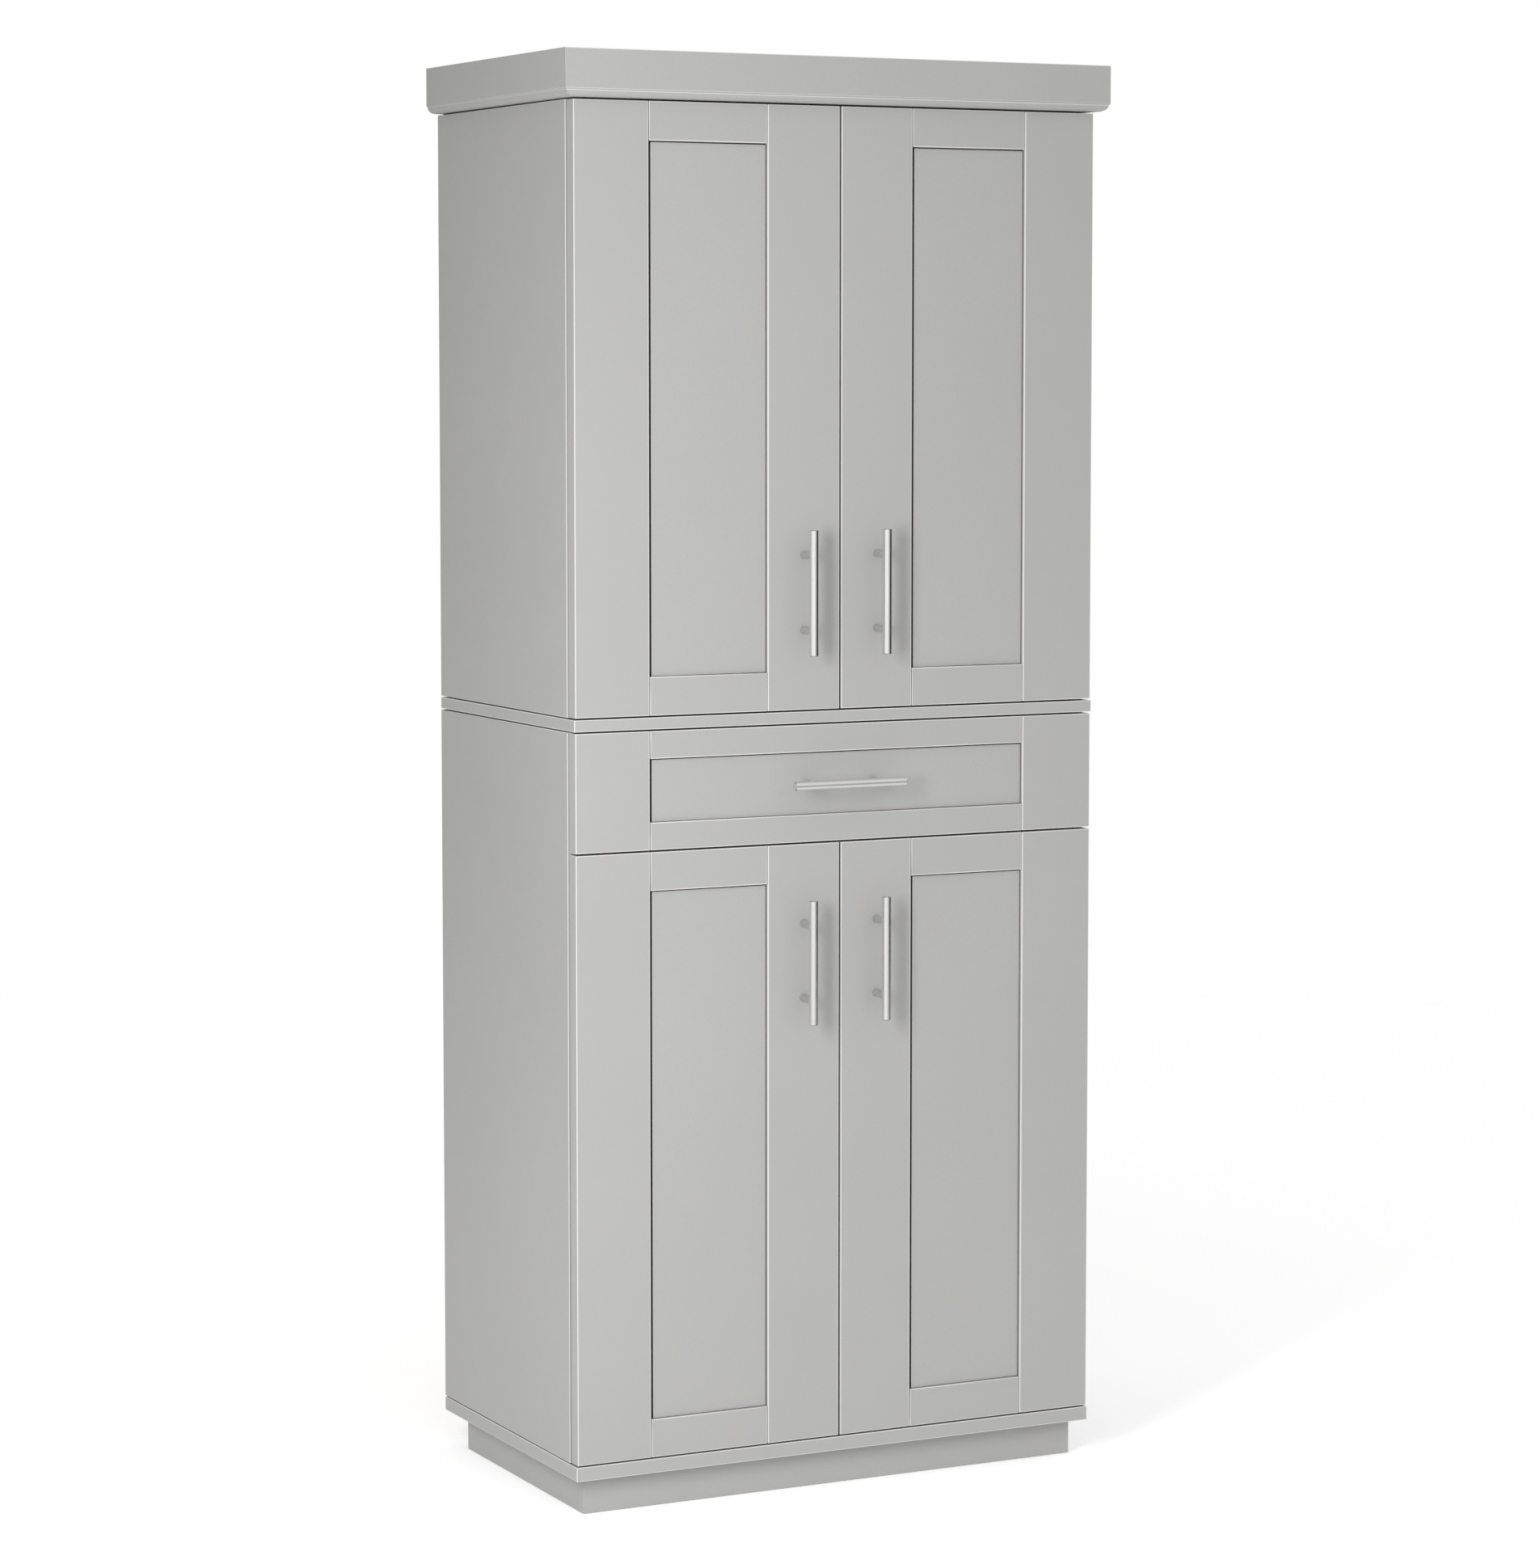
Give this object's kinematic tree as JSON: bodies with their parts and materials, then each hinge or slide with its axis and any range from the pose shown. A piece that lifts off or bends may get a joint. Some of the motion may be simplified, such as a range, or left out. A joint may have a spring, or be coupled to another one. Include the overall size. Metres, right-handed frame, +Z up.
{
  "type": "pantry cabinet",
  "caption": "Tall painted pantry cabinet with framed upper and lower doors, a full-width drawer between them, round bar handles, box crown and recessed plinth.",
  "frame": {"origin": "on the floor, under the middle of the whole box, handles included", "axes": "+Z up, the fronts face -Y, +X to the right of someone who faces the fronts"},
  "size_m": [0.777, 0.47, 1.84],
  "materials": {
    "painted_wood": "satin paint, warm light grey",
    "interior_board": "matte laminate, warm light grey",
    "drawer_ply": "clear matte lacquer on plywood",
    "handle_metal": "satin nickel",
    "hinge_metal": "bright nickel plate",
    "runner_metal": "zinc plate"
  },
  "bodies": {
    "cabinet": {"bottom_board": "painted_wood", "crown_front": "painted_wood", "crown_left": "painted_wood", "crown_right": "painted_wood", "crown_top": "painted_wood", "drawer_divider": "interior_board", "lower_back_panel": "interior_board", "lower_door_left_arm_high": "hinge_metal", "lower_door_left_arm_low": "hinge_metal", "lower_door_right_arm_high": "hinge_metal", "lower_door_right_arm_low": "hinge_metal", "lower_shelf": "interior_board", "lower_side_left": "painted_wood", "lower_side_right": "painted_wood", "middle_board": "painted_wood", "plinth_back": "painted_wood", "plinth_front": "painted_wood", "plinth_left": "painted_wood", "plinth_right": "painted_wood", "runner_rail_left": "runner_metal", "runner_rail_right": "runner_metal", "top_board": "painted_wood", "upper_back_panel": "interior_board", "upper_door_left_arm_high": "hinge_metal", "upper_door_left_arm_low": "hinge_metal", "upper_door_right_arm_high": "hinge_metal", "upper_door_right_arm_low": "hinge_metal", "upper_shelf_high": "interior_board", "upper_shelf_low": "interior_board", "upper_side_left": "painted_wood", "upper_side_right": "painted_wood"},
    "upper_door_left": {"upper_door_left_cup_high": "hinge_metal", "upper_door_left_cup_low": "hinge_metal", "upper_door_left_frame": "painted_wood", "upper_door_left_handle": "handle_metal", "upper_door_left_panel": "painted_wood"},
    "upper_door_right": {"upper_door_right_cup_high": "hinge_metal", "upper_door_right_cup_low": "hinge_metal", "upper_door_right_frame": "painted_wood", "upper_door_right_handle": "handle_metal", "upper_door_right_panel": "painted_wood"},
    "lower_door_left": {"lower_door_left_cup_high": "hinge_metal", "lower_door_left_cup_low": "hinge_metal", "lower_door_left_frame": "painted_wood", "lower_door_left_handle": "handle_metal", "lower_door_left_panel": "painted_wood"},
    "lower_door_right": {"lower_door_right_cup_high": "hinge_metal", "lower_door_right_cup_low": "hinge_metal", "lower_door_right_frame": "painted_wood", "lower_door_right_handle": "handle_metal", "lower_door_right_panel": "painted_wood"},
    "drawer": {"drawer_back": "drawer_ply", "drawer_bottom": "drawer_ply", "drawer_front_frame": "painted_wood", "drawer_front_panel": "painted_wood", "drawer_handle": "handle_metal", "drawer_side_left": "drawer_ply", "drawer_side_right": "drawer_ply", "runner_slide_left": "runner_metal", "runner_slide_right": "runner_metal"}
  },
  "joints": [
    {"name": "upper_door_left_hinge", "type": "hinge", "parent": "cabinet", "child": "upper_door_left", "pos_m": [-0.371, -0.2, 1.0132], "axis": [0, 0, -1], "range_deg": [0, 105]},
    {"name": "upper_door_right_hinge", "type": "hinge", "parent": "cabinet", "child": "upper_door_right", "pos_m": [0.371, -0.2, 1.0132], "axis": [0, 0, 1], "range_deg": [0, 105]},
    {"name": "lower_door_left_hinge", "type": "hinge", "parent": "cabinet", "child": "lower_door_left", "pos_m": [-0.371, -0.2, 0.0672], "axis": [0, 0, -1], "range_deg": [0, 105]},
    {"name": "lower_door_right_hinge", "type": "hinge", "parent": "cabinet", "child": "lower_door_right", "pos_m": [0.371, -0.2, 0.0672], "axis": [0, 0, 1], "range_deg": [0, 105]},
    {"name": "drawer_slide", "type": "slide", "parent": "cabinet", "child": "drawer", "axis": [0, -1, 0], "range_m": [0, 0.25]}
  ]
}
